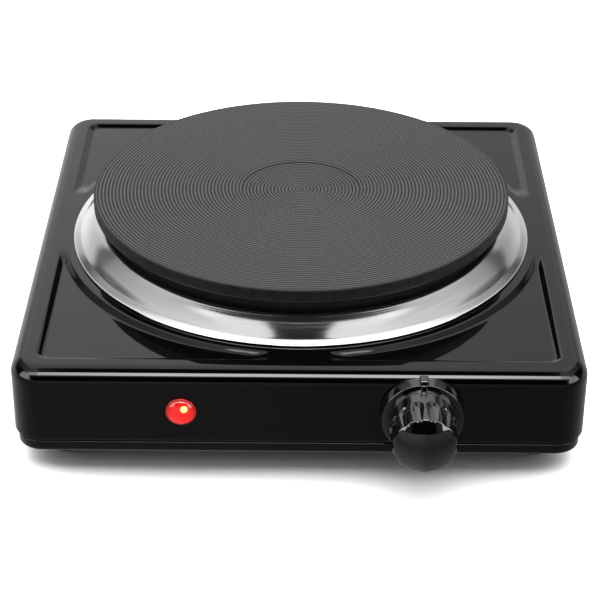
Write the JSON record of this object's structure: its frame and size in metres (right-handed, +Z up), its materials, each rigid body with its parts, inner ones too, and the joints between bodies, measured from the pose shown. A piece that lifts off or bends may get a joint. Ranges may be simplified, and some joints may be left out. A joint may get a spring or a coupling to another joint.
{
  "type": "hot plate burner",
  "caption": "Tabletop electric hot plate: round cast-iron plate in a polished trim ring on a black enamelled box, with a control knob and indicator lens on the front.",
  "frame": {"origin": "centre of the outline at table level", "axes": "+Z up, +X to the user's right, -Y towards the user (the side with the knob)"},
  "size_m": [0.234, 0.2724, 0.0666],
  "materials": {
    "black_enamel": "high gloss",
    "black_tray_paint": "satin",
    "foot_rubber": "matt",
    "zinc_steel": "zinc plated",
    "polished_steel": "polished",
    "black_cast_iron": "turned, with fine concentric grooves",
    "element_sheath": "heat darkened",
    "steatite": "unglazed",
    "aluminised_sheet": "satin",
    "black_knob": "gloss",
    "brass": "plain",
    "bimetal": "rolled",
    "red_lens": "gloss, see-through",
    "lamp_glass": "clear",
    "black_plastic": "matt",
    "white_nylon": "matt",
    "fuse_sleeve": "woven",
    "brown_insulation": "satin",
    "blue_insulation": "satin",
    "black_insulation": "satin",
    "green_insulation": "satin"
  },
  "bodies": {
    "housing": {"base_tray": "black_tray_paint", "bimetal_strip": "bimetal", "ceramic_disc": "steatite", "clamp_bridge": "zinc_steel", "cord_grommet": "foot_rubber", "corner_post_front_left": "zinc_steel", "corner_post_front_right": "zinc_steel", "corner_post_rear_left": "zinc_steel", "corner_post_rear_right": "zinc_steel", "cover_nut": "zinc_steel", "earth_screw": "brass", "foot_front_left": "foot_rubber", "foot_front_right": "foot_rubber", "foot_rear_left": "foot_rubber", "foot_rear_right": "foot_rubber", "foot_screw_front_left": "zinc_steel", "foot_screw_front_right": "zinc_steel", "foot_screw_rear_left": "zinc_steel", "foot_screw_rear_right": "zinc_steel", "heat_shield": "aluminised_sheet", "heating_coil": "element_sheath", "hot_plate": "black_cast_iron", "indicator_lens": "red_lens", "lamp_holder": "black_plastic", "lens_clip": "zinc_steel", "mains_terminal_block": "white_nylon", "neon_lamp": "lamp_glass", "plate_cover": "zinc_steel", "plate_stud": "zinc_steel", "plate_terminal_block": "steatite", "stack_insulator_front": "steatite", "stack_insulator_rear": "steatite", "stack_rivet": "zinc_steel", "stud_nut": "zinc_steel", "stud_washer": "zinc_steel", "terminal_pin_inner": "zinc_steel", "terminal_pin_outer": "zinc_steel", "terminal_screw_1": "brass", "terminal_screw_2": "brass", "terminal_screw_3": "brass", "thermal_fuse": "fuse_sleeve", "thermostat_bracket": "zinc_steel", "thermostat_bush": "brass", "thermostat_screw_left": "zinc_steel", "thermostat_screw_right": "zinc_steel", "top_housing": "black_enamel", "trim_ring": "polished_steel", "wire_earth": "green_insulation", "wire_fused": "black_insulation", "wire_lamp_live": "brown_insulation", "wire_lamp_neutral": "blue_insulation", "wire_live": "brown_insulation", "wire_neutral": "blue_insulation", "wire_switched": "black_insulation"},
    "control": {"knob": "black_knob", "knob_spring": "zinc_steel", "thermostat_shaft": "zinc_steel"},
    "blade": {"contact_blade": "brass"}
  },
  "joints": [
    {"name": "knob_turn", "type": "hinge", "parent": "housing", "child": "control", "pos_m": [0.0498, -0.10875, 0.0275], "axis": [0, 1, 0], "range_deg": [0, 300]},
    {"name": "blade_bend", "type": "hinge", "parent": "housing", "child": "blade", "pos_m": [0.0368, -0.09465, 0.0275], "axis": [0, 0, 1], "range_deg": [0, 3.5]}
  ],
  "couplings": [
    {"joint": "blade_bend", "follows": "knob_turn", "ratio": 0.0116}
  ]
}
